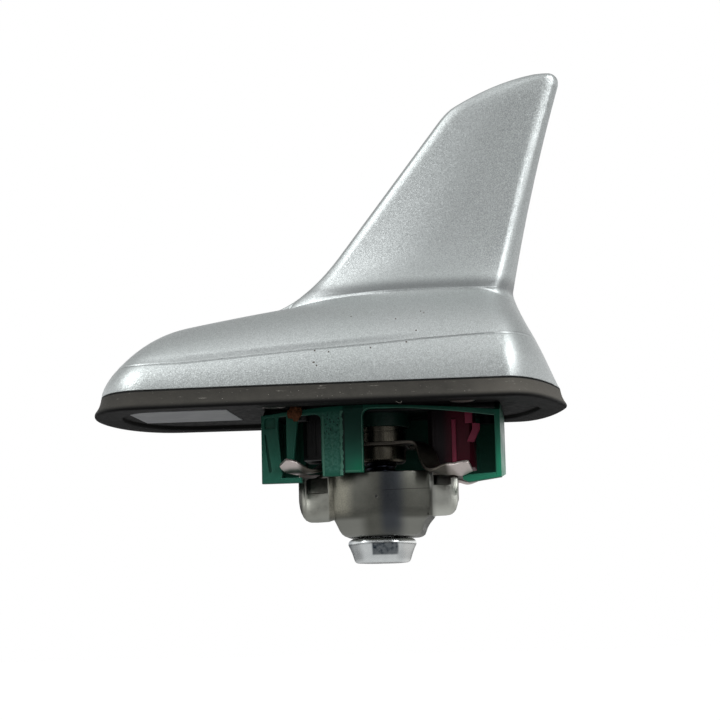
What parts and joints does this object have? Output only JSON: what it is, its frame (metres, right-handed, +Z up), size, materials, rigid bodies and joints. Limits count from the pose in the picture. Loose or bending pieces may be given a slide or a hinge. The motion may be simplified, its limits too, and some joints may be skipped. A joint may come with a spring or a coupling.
{
  "type": "shark fin roof aerial",
  "caption": "Car roof aerial: silver shark fin cover on a rubber foot seal, with a clamp bolt, cup, claw spring and plug frame that hang below the roof.",
  "frame": {"origin": "on the roof surface, under the seal's foot, at the clamp bolt's axis", "axes": "+X runs to the tail, +Z is up out of the roof, +Y is the side away from the picture's camera"},
  "size_m": [0.1191, 0.06, 0.1229],
  "materials": {
    "cover_paint": "silver metallic paint over moulded plastic, fine sparkle, fine black specks",
    "seal_rubber": "matt dark grey rubber with pale dust specks",
    "gasket_rubber": "soft black foam rubber",
    "base_black": "matt black moulding",
    "boss_steel": "turned steel, brownish grey with upright streaks",
    "label_paper": "bare white label film",
    "frame_green": "dark green moulding, slightly mottled, glossy edges",
    "socket_black": "black moulding",
    "socket_bordeaux": "bordeaux moulding, half gloss",
    "contact_gold": "plated contact metal",
    "insulator_white": "ivory moulding",
    "spring_steel": "spring steel strip, pinkish grey",
    "cup_steel": "pressed steel, satin grey with fine speckle",
    "bolt_zinc": "bright zinc, slightly blue",
    "screw_steel": "plated steel",
    "screw_rust": "rusted steel",
    "board_green": "circuit board with solder mask",
    "can_tin": "tinned sheet",
    "ceramic_buff": "buff ceramic with a silvered patch",
    "trace_copper": "copper track",
    "holder_white": "ivory moulding"
  },
  "bodies": {
    "root": {"cover": "cover_paint", "base_seal": "seal_rubber", "cover_gasket": "gasket_rubber", "base_plate": "base_black", "clamp_boss": "boss_steel", "blank_label": "label_paper", "plug_frame": "frame_green", "black_socket": "socket_black", "red_socket": "socket_bordeaux", "black_outer_contact": "contact_gold", "red_outer_contact": "contact_gold", "black_centre_pin": "contact_gold", "red_centre_pin": "contact_gold", "black_insulator": "insulator_white", "red_insulator": "insulator_white", "claw_spring": "spring_steel", "cover_screws": "screw_steel", "frame_screws": "screw_rust", "board_screws": "screw_steel", "main_board": "board_green", "shield_can": "can_tin", "patch_aerial": "ceramic_buff", "patch_feed_pin": "contact_gold", "fin_board": "board_green", "fin_trace": "trace_copper", "fin_board_holder": "holder_white", "contact_spring": "contact_gold"},
    "clamp": {"clamp_cup": "cup_steel"},
    "bolt": {"clamp_bolt": "bolt_zinc"}
  },
  "joints": [
    {"name": "clamp_lift", "type": "slide", "parent": "root", "child": "clamp", "axis": [0, 0, 1], "range_m": [0, 0.007], "deforming": ["claw_spring"]},
    {"name": "bolt_turn", "type": "hinge", "parent": "clamp", "child": "bolt", "pos_m": [0, 0, -0.03], "axis": [0, 0, 1], "range_deg": [0, 2010]}
  ],
  "couplings": [
    {"joint": "clamp_lift", "follows": "bolt_turn", "m_per_rad": 0.00019894}
  ]
}
